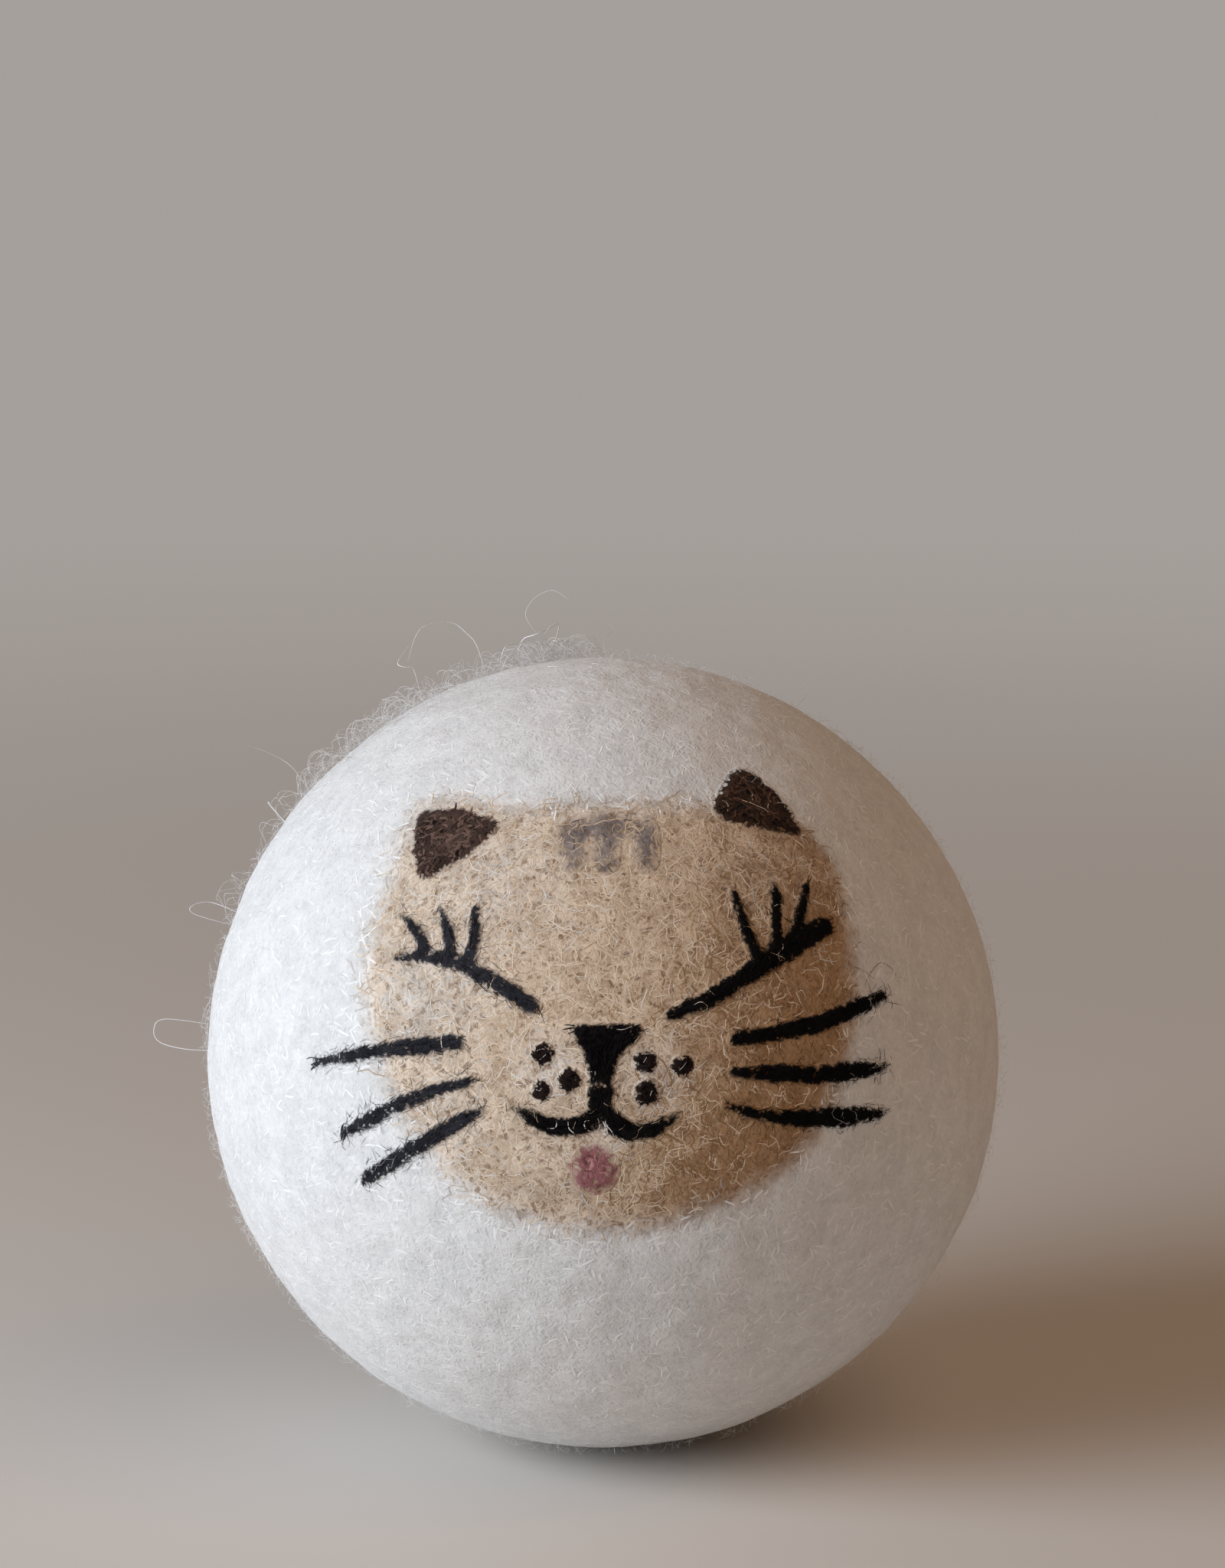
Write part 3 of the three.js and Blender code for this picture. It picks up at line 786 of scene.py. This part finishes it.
NAP_NUMBERS = (
    "Density", "Length", "Thickness", "Curl", "Lift", "Wave",
    "Flatness", "Loop", "Sunk", "Pressed", "Scatter",
)
SINGLE_SOCKETS = {
    "Ground": "NodeSocketObject",
    "Pressed": "NodeSocketFloat",
    "Seed": "NodeSocketInt",
    "Wool": "NodeSocketMaterial",
}
NAP_SOCKETS = {
    **SINGLE_SOCKETS,
    **dict.fromkeys(NAP_NUMBERS, "NodeSocketFloat"),
    "Points": "NodeSocketInt",
    "Where": "NodeSocketString",
}


def new_tree(name, inputs):
    """A tree of geometry nodes with named inputs, and a socket for each of them."""
    tree = bpy.data.node_groups.new(name, "GeometryNodeTree")
    tree.interface.new_socket("Roots", in_out="INPUT", socket_type="NodeSocketGeometry")
    for given, kind in inputs.items():
        tree.interface.new_socket(given, in_out="INPUT", socket_type=kind)
    tree.interface.new_socket("Fibres", in_out="OUTPUT", socket_type="NodeSocketGeometry")
    nodes = Nodes(tree)
    group = tree.nodes.new("NodeGroupInput")
    return nodes, {given: Socket(nodes, group.outputs[given]) for given in ("Roots", *inputs)}


def end_tree(nodes, fibres):
    nodes.add("NodeGroupOutput", sockets={"Fibres": fibres})
    return nodes.tree


def chance(nodes, given, low, high, salt, strand=None):
    """A random number for each point, or the same one all along a strand."""
    sockets = {2: low, 3: high, "Seed": given["Seed"] + salt}
    if strand is not None:
        sockets["ID"] = strand
    return nodes.add("FunctionNodeRandomValue", sockets=sockets, out=1)


def foot_below(nodes, ground, outwards):
    """Where the ground is met, from outside, in a direction from the ball's centre."""
    target = nodes.add("GeometryNodeObjectInfo", sockets={"Object": ground}, out="Geometry")
    sockets = {
        "Target Geometry": target,
        "Source Position": nodes.vector("SCALE", outwards, RAY_START * BALL_RADIUS * MM),
        "Ray Direction": nodes.vector("SCALE", outwards, -1.0),
        "Ray Length": BALL_RADIUS * MM,
    }
    return nodes.add("GeometryNodeRaycast", sockets=sockets, out="Hit Position")


def pressed(nodes, tubes, given):
    """Presses strands onto the ground, to a share of their height above it."""
    place = nodes.add("GeometryNodeInputPosition")
    foot = foot_below(nodes, given["Ground"], nodes.vector("NORMALIZE", place))
    height = nodes.vector("SCALE", nodes.vector("SUBTRACT", place, foot), given["Pressed"])
    sockets = {"Geometry": tubes, "Position": nodes.vector("ADD", foot, height)}
    return nodes.add("GeometryNodeSetPosition", sockets=sockets)


def keep(nodes, geometry, kind, value):
    """Some geometry with a value kept on its points, and the kept value."""
    node = nodes.tree.nodes.new("GeometryNodeCaptureAttribute")
    node.capture_items.new(kind, "kept")
    nodes.tree.links.new(geometry.output, node.inputs[0])
    nodes.tree.links.new(value.output, node.inputs["kept"])
    return Socket(nodes, node.outputs[0]), Socket(nodes, node.outputs["kept"])


def spin_strands(nodes, curves, thickness, shade, given):
    """Turns curves into closed three-sided strands that taper to both ends, with the map their wool reads."""
    way = nodes.add("GeometryNodeSplineParameter")
    shade_and_way = nodes.add("ShaderNodeCombineXYZ", sockets={"X": shade, "Y": way})
    curves, strand_map = keep(nodes, curves, "VECTOR", shade_and_way)
    circle = nodes.add("GeometryNodeCurvePrimitiveCircle", sockets={"Resolution": 3, "Radius": 1.0})
    ring, way_round = keep(nodes, circle, "FLOAT", nodes.add("GeometryNodeSplineParameter"))
    radius = thickness * (STRAND_TIP + STRAND_SWELL * way * (1.0 - way))
    sockets = {"Curve": curves, "Profile Curve": ring, "Scale": radius, "Fill Caps": True}
    tubes = nodes.add("GeometryNodeCurveToMesh", sockets=sockets)
    across = nodes.add("ShaderNodeCombineXYZ", sockets={"X": way_round * STRAND_MAP_WIDTH})
    sockets = {
        "Geometry": pressed(nodes, tubes, given),
        "Name": "OFBake",
        "Value": nodes.vector("ADD", strand_map, across),
    }
    settings = {"data_type": "FLOAT2", "domain": "CORNER"}
    mapped = nodes.add("GeometryNodeStoreNamedAttribute", settings, sockets)
    whole = nodes.add("GeometryNodeRealizeInstances", sockets={"Geometry": mapped})
    return nodes.add("GeometryNodeSetMaterial", sockets={"Geometry": whole, "Material": given["Wool"]})


def nap_tree():
    """Geometry nodes that lay curled fibres on a surface."""
    nodes, given = new_tree("lay wool fibres", NAP_SOCKETS)

    # Roots, spread by one of the surface's own fields, and the way that each fibre leaves its root
    per_square_metre = given["Density"] * nodes.field(given["Where"]) * 1e6
    sockets = {"Mesh": given["Roots"], "Density": per_square_metre, "Seed": given["Seed"]}
    spread = nodes.add("GeometryNodeDistributePointsOnFaces", sockets=sockets)
    outwards = Socket(nodes, spread.output.node.outputs["Normal"])
    grain = nodes.field("grain", "FLOAT_VECTOR")
    turn = chance(nodes, given, -1.0, 1.0, 1) * given["Scatter"]
    heading = nodes.add("ShaderNodeVectorRotate", sockets={"Vector": grain, "Axis": outwards, "Angle": turn})
    rotation = nodes.add(
        "FunctionNodeAxesToRotation",
        {"primary_axis": "Z", "secondary_axis": "X"},
        {"Primary Axis": outwards, "Secondary Axis": heading},
    )
    line = nodes.add("GeometryNodeCurvePrimitiveLine", sockets={"Start": (0, 0, 0), "End": (1, 0, 0)})
    straight = nodes.add("GeometryNodeResampleCurve", sockets={"Curve": line, "Count": given["Points"]})
    size = given["Length"] * chance(nodes, given, *STRAND_LENGTHS, 2)
    sockets = {"Points": spread, "Instance": straight, "Rotation": rotation, "Scale": size}
    placed = nodes.add("GeometryNodeInstanceOnPoints", sockets=sockets)
    strands = nodes.add("GeometryNodeRealizeInstances", sockets={"Geometry": placed})

    # Each strand bends by a noise of its own and follows the ground, tucked in at its root, and some stand up
    way = nodes.add("GeometryNodeSplineParameter")
    strand = nodes.add("GeometryNodeCurveOfPoint")
    place = nodes.add("GeometryNodeInputPosition")
    own_place = nodes.vector("ADD", place, chance(nodes, given, 0.0, 0.05, 3, strand))
    swirl = nodes.noise(own_place, 1.0 / given["Wave"], 1.0, "Color")
    bend = nodes.vector("SUBTRACT", swirl, (0.5, 0.5, 0.5))
    bent = nodes.vector("ADD", place, nodes.vector("SCALE", bend, given["Curl"] * given["Length"] * way))
    outwards = nodes.vector("NORMALIZE", bent)
    foot = foot_below(nodes, given["Ground"], outwards)
    standing = chance(nodes, given, 0.0, 1.0, 4, strand) ** given["Flatness"]
    arch = given["Thickness"] * (2.4 * way * (1.0 - way) - 0.4) - given["Sunk"]
    rise = way * (1.8 + 2.2 * given["Loop"] - way * (1.0 + 3.0 * given["Loop"]))
    height = arch + given["Lift"] * standing * rise
    position = nodes.vector("ADD", foot, nodes.vector("SCALE", outwards, height))
    laid = nodes.add("GeometryNodeSetPosition", sockets={"Geometry": strands, "Position": position})
    shade = chance(nodes, given, *NAP_SHADES, 5, strand)
    return end_tree(nodes, spin_strands(nodes, laid, given["Thickness"], shade, given))


def strand_tree():
    """Geometry nodes that make a smooth strand of each row of edges, on the ground where it runs below it."""
    nodes, given = new_tree("lay single strands", SINGLE_SOCKETS)
    rows = nodes.add("GeometryNodeMeshToCurve", sockets={"Mesh": given["Roots"]})
    smooth = nodes.add("GeometryNodeCurveSplineType", {"spline_type": "CATMULL_ROM"}, {"Curve": rows})
    sockets = {"Curve": smooth, "Length": STRAND_STEP * MM}
    strands = nodes.add("GeometryNodeResampleCurve", {"mode": "LENGTH"}, sockets)
    way = nodes.add("GeometryNodeSplineParameter")
    place = nodes.add("GeometryNodeInputPosition")
    outwards = nodes.vector("NORMALIZE", place)
    thickness = nodes.field("thickness")
    ground = nodes.length(foot_below(nodes, given["Ground"], outwards))
    arch = thickness * (2.8 * way * (1.0 - way) - 0.4)
    radius = nodes.math("MAXIMUM", nodes.length(place), ground + arch)
    position = nodes.vector("SCALE", outwards, radius)
    laid = nodes.add("GeometryNodeSetPosition", sockets={"Geometry": strands, "Position": position})
    shade = chance(nodes, given, *SINGLE_SHADES, 1, nodes.add("GeometryNodeCurveOfPoint"))
    return end_tree(nodes, spin_strands(nodes, laid, thickness, shade, given))


def strand_rows(name, strands):
    """An object of bare edges, a row for each strand, with its thickness."""
    places = []
    edges = []
    thickness = []
    for width, row in strands:
        edges += [(len(places) + k, len(places) + k + 1) for k in range(len(row) - 1)]
        places += [view_place(*place) * MM for place in row]
        thickness += [width * MM] * len(row)
    mesh = bpy.data.meshes.new(name)
    mesh.from_pydata(places, edges, [])
    set_attributes(mesh, thickness=thickness)
    return new_object(name, mesh)


def joined(name, pieces):
    """One object with the meshes of some pieces, and their fields."""
    shape = bmesh.new()
    for piece in pieces:
        shape.from_mesh(piece.data)
    mesh = bpy.data.meshes.new(name)
    shape.to_mesh(mesh)
    shape.free()
    return new_object(name, mesh)


def apply_tree(holder, tree, values):
    """Gives an object the plain mesh that a node tree makes of it."""
    modifier = holder.modifiers.new("fibres", "NODES")
    modifier.node_group = tree
    for item in tree.interface.items_tree:
        if item.in_out == "INPUT" and item.name in values:
            modifier[item.identifier] = values[item.name]
    shown = holder.evaluated_get(bpy.context.evaluated_depsgraph_get())
    mesh = bpy.data.meshes.new_from_object(shown)
    holder.modifiers.remove(modifier)
    holder.data = mesh
    if values["Pressed"] < 1:
        mesh.shade_flat()
    else:
        mesh.shade_smooth()
    return holder


# The whole dressed ball

def dress(piece, slot, *nodes):
    """Sets a piece on the ball and hides the solids that it stands for; its slot is not used."""
    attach(piece, BODY)
    if nodes:
        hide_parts(*nodes)
    return piece


def make_tufts(nodes, slot, material, rise=0.16, feather=0.24, raggedness=0.2, haze=0.0, beside=()):
    """Tufts of one wool, one for each of some solids."""
    tufts = [make_tuft(node, material, rise, feather, raggedness, haze, beside) for node in nodes]
    return [dress(tuft, slot, node) for tuft, node in zip(tufts, nodes)]


FRECKLES = [f"freckle_{side}_{n}" for side in ("left", "right") for n in (1, 2, 3)]
WHISKERS = [f"whisker_{side}_{row}" for side in ("left", "right") for row in ("upper", "middle", "lower")]

pad = FacePad()
ball_wool = dress(make_ball(), "white_wool", "felt_ball")
pad_wool = dress(make_pad(), "tan_wool", "face_pad")
bare_ground = joined("bare_ground", [ball_wool, pad_wool])

nose_felt = felt("nose felt", BLACK, 0.4, sheen=0.0, fade=(0.12, 0.75))
nose = make_tufts(["nose"], "black_wool", nose_felt, beside=["mouth"])
mouth = make_tufts(["mouth"], "black_wool", nose_felt, beside=["nose"])
black_felt = felt("black felt", BLACK, 0.45, sheen=0.0, fade=(0.24, 0.85))
right_lines = make_tufts(["eye_right", *WHISKERS[3:]], "black_wool", black_felt)
# The left lines' black carries a painted sheen, besides the white wool worked into it
greyed_sheen_felt = felt("faded black felt", GREYED_WITH_SHEEN, 0.5, sheen=0.0, fade=(0.25, 0.9))
left_lines = make_tufts(["eye_left", *WHISKERS[:3]], "black_wool", greyed_sheen_felt)
soot_felt = felt("soot black felt", SOOT, 0.6, sheen=0.0)
freckles = make_tufts(FRECKLES, "black_wool", soot_felt, raggedness=0.3)
brown_felt = felt("brown felt", BROWN, sheen=0.05)
left_ear = make_tufts(["ear_left"], "brown_wool", brown_felt, feather=0.3)
dark_felt = felt("dark brown felt", DARK_BROWN, sheen=0.05)
right_ear = make_tufts(["ear_right"], "brown_wool", dark_felt, feather=0.35)
grey_felt = felt("grey felt", GREY, 0.8, glow=0.4, fade=(0.0, 1.15))
mark = make_tufts(["forehead_mark"], "grey_wool", grey_felt, 0.06, 0.45, 0.3, haze=0.5)
pink_felt = felt("pink felt", PINK, 0.8, glow=0.3, fade=(0.1, 1.0))
tongue = make_tufts(["tongue"], "pink_wool", pink_felt, 0.08, 0.45, 0.3, haze=0.3)
black_tufts = nose + mouth + right_lines
tufts = black_tufts + left_lines + freckles + left_ear + right_ear + mark + tongue
full_ground = joined("full_ground", [ball_wool, pad_wool, *tufts])

# Naps, with their fibres to a square millimetre, length, thickness, curl and lift
BALL = [ball_wool]
PAD = [pad_wool]
LAID = {"wave": 0.9, "pressed": 0.25, "points": 8}
MATTED = {"sunk": 0.03, "pressed": 0.2, "points": 9, "where": "core"}
NAPS = [
    Nap("white_nap", BALL + PAD, "white", 0.42, 1.6, 0.23, 1.3, 0.05, sunk=0.03, pressed=0.2, where="white"),
    Nap(
        "white_down", BALL, "white", 0.9, 1.0, 0.022, 1.2, 1.2,
        wave=0.9, flatness=0.9, points=4, where="fuzz",
    ),
    Nap(
        "white_fuzz", BALL, "white", 0.22, 2.2, 0.022, 1.8, 1.0,
        wave=1.4, flatness=1.6, points=6, where="fuzz",
    ),
    Nap(
        "white_loops", BALL, "wispy white", 5.5, 3.0, 0.042, 1.5, 2.4,
        wave=1.3, flatness=0.9, loop=0.8, points=9, where="loops",
    ),
    Nap("tan_nap", PAD, "tan", 2.6, 2.4, 0.13, 1.5, 0.08, sunk=0.02, scatter=120, **LAID),
    Nap("gold_nap", PAD, "golden", 2.8, 2.5, 0.13, 1.2, 0.08, sunk=0.02, scatter=60, where="goldnap", **LAID),
    Nap("cream_nap", PAD, "cream", 2.2, 2.4, 0.12, 1.6, 0.10, sunk=0.015, where="creamnap", **LAID),
    Nap("pale_nap", PAD, "pale", 2.2, 2.0, 0.12, 1.5, 0.10, sunk=0.015, where="palenap", **LAID),
    Nap("tan_flecks", PAD, "dark tan", 0.16, 0.5, 0.26, 1.2, 0.08, wave=0.5, pressed=0.2),
    Nap("black_nap", black_tufts, "black", 8.0, 1.0, 0.08, 0.6, 0.1, scatter=22),
    Nap("soot_nap", freckles, "black", 6.0, 0.8, 0.07, 1.0, 0.1),
    Nap("black_fray", black_tufts, "black", 4.0, 0.8, 0.04, 1.0, 0.15, where="edge"),
    Nap("faded_nap", left_lines, "faded black", 7.0, 1.0, 0.07, 0.7, 0.1, scatter=25),
    Nap("faded_fray", left_lines, "faded black", 6.0, 1.0, 0.035, 1.2, 0.2, where="edge"),
    Nap("brown_nap", left_ear, "brown", 5.0, 1.2, 0.27, 1.5, 0.05, wave=0.6, **MATTED),
    Nap("dark_nap", right_ear, "dark brown", 5.0, 1.2, 0.27, 1.5, 0.05, wave=0.6, **MATTED),
    Nap(
        "grey_nap", mark, "grey", 2.4, 1.3, 0.14, 1.3, 0.08,
        wave=0.8, sunk=0.02, pressed=0.2, scatter=60, points=7,
    ),
    Nap("pink_nap", tongue, "pink", 4.0, 1.0, 0.24, 1.5, 0.05, wave=0.5, **MATTED),
    Nap("tan_edges", mouth, "tan", 1.6, 1.0, 0.05, 1.3, 0.05, wave=0.9, where="edge"),
    Nap("mark_edges", mark, "tan", 3.0, 1.8, 0.13, 1.5, 0.08, sunk=0.015, where="bare", **LAID),
]
SINGLE_STRANDS = [
    ("stray_strands", STRAY_STRANDS, "white", 1.0),
    ("white_strands", WHITE_CROSSINGS, "pale", 0.3),
    ("cream_strands", CREAM_CROSSINGS, "cream", 0.3),
    ("dark_hairs", DARK_HAIRS, "black", 0.5),
    ("faded_hairs", GREYED_SHEEN_HAIRS, "faded black", 0.5),
]
wools = {}
slots = {}
for slot, kinds in FIBRES.items():
    for name, shades in kinds.items():
        wools[name] = loose_wool(name, slot, shades)
        slots[name] = slot
lay = nap_tree()
for seed, nap in enumerate(NAPS, start=NAP_SEED):
    ground = full_ground if nap.roots[0] in tufts else bare_ground
    fibres = apply_tree(joined(nap.name, nap.roots), lay, nap.inputs(seed, ground))
    dress(fibres, slots[nap.wool])
lay_single = strand_tree()
for seed, (name, strands, wool, pressed_to) in enumerate(SINGLE_STRANDS, start=SINGLE_SEED):
    values = {"Ground": full_ground, "Pressed": pressed_to, "Seed": seed, "Wool": wools[wool]}
    dress(apply_tree(strand_rows(name, strands), lay_single, values), slots[wool])
for helper in (bare_ground, full_ground):
    bpy.data.objects.remove(helper)


# Floor, light and camera

def looked_at(nodes):
    """1 for what is seen straight, in a mirror or through glass, and 0 for light on the ball."""
    kinds = ("Is Camera Ray", "Is Glossy Ray", "Is Transmission Ray")
    straight, mirrored, through = (nodes.add("ShaderNodeLightPath", out=kind) for kind in kinds)
    return nodes.math("MAXIMUM", nodes.math("MAXIMUM", straight, mirrored), through)


def floor_material():
    """A dull pale floor, plain and evenly pale to the camera far from the ball."""
    material, nodes = new_material("pale floor")
    near = nodes.add("ShaderNodeBsdfDiffuse", sockets={"Color": FLOOR})
    far = nodes.add("ShaderNodeEmission", sockets={"Color": BACKDROP})
    place = nodes.add("ShaderNodeTexCoord", out="Object")
    distance = nodes.length(nodes.vector("MULTIPLY", place, (1, 1, 0)))
    share = nodes.between(*FLOOR_FADE, distance) * looked_at(nodes)
    mixed = nodes.add("ShaderNodeMixShader", sockets={0: share, 1: near, 2: far})
    nodes.add("ShaderNodeOutputMaterial", sockets={0: mixed})
    return material


def make_floor():
    """A wide round floor under the ball."""
    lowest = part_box("felt_ball")[0].z
    turns = np.linspace(0, 2 * math.pi, FLOOR_SIDES, endpoint=False)
    vertices = [(FLOOR_RADIUS * math.cos(a), FLOOR_RADIUS * math.sin(a), lowest) for a in turns]
    mesh = bpy.data.meshes.new("floor")
    mesh.from_pydata(vertices, [], [range(len(vertices))])
    add_piece("floor", mesh, floor_material())


def add_lamp(name, place, size, watts, tint):
    data = bpy.data.lights.new(name, "AREA")
    data.shape = "DISK"
    data.size = size
    data.energy = watts
    data.color = tint
    lamp = new_object(name, data)
    lamp.location = place
    lamp.rotation_euler = (-Vector(place)).to_track_quat("-Z", "Y").to_euler()


def add_camera():
    """The photograph's view: the ball lies low in the frame, so the camera looks a little above it."""
    width, height = PHOTO_SIZE
    half_angle = math.asin(BALL_RADIUS / CAMERA_DISTANCE)
    focal = BALL_PIXEL_RADIUS / math.tan(half_angle)
    data = bpy.data.cameras.new("camera")
    data.sensor_width = SENSOR
    data.lens = focal * SENSOR / max(width, height)
    data.clip_start = 0.01
    camera = new_object("camera", data)
    towards = Vector((0, -math.cos(CAMERA_ELEVATION), math.sin(CAMERA_ELEVATION)))
    aim = (-towards).to_track_quat("-Z", "Y").to_matrix().to_4x4()
    raised = Matrix.Rotation(math.atan((BALL_PIXEL[1] - height / 2) / focal), 4, "X")
    turned = Matrix.Rotation(math.atan((BALL_PIXEL[0] - width / 2) / focal), 4, "Y")
    camera.matrix_world = Matrix.Translation(towards * CAMERA_DISTANCE * MM) @ aim @ raised @ turned
    bpy.context.scene.camera = camera


def light_room():
    """Even light from all round. The camera sees the backdrop's colour instead."""
    world = bpy.data.worlds.new("soft room")
    world.use_nodes = True
    nodes = Nodes(world.node_tree)
    shown = nodes.blend(looked_at(nodes), ROOM_LIGHT, BACKDROP)
    room = nodes.add("ShaderNodeBackground", sockets={"Color": shown})
    nodes.add("ShaderNodeOutputWorld", sockets={0: room})
    bpy.context.scene.world = world


make_floor()
add_camera()
for lamp in LAMPS:
    add_lamp(*lamp)
light_room()
bpy.context.scene.view_settings.view_transform = "Standard"
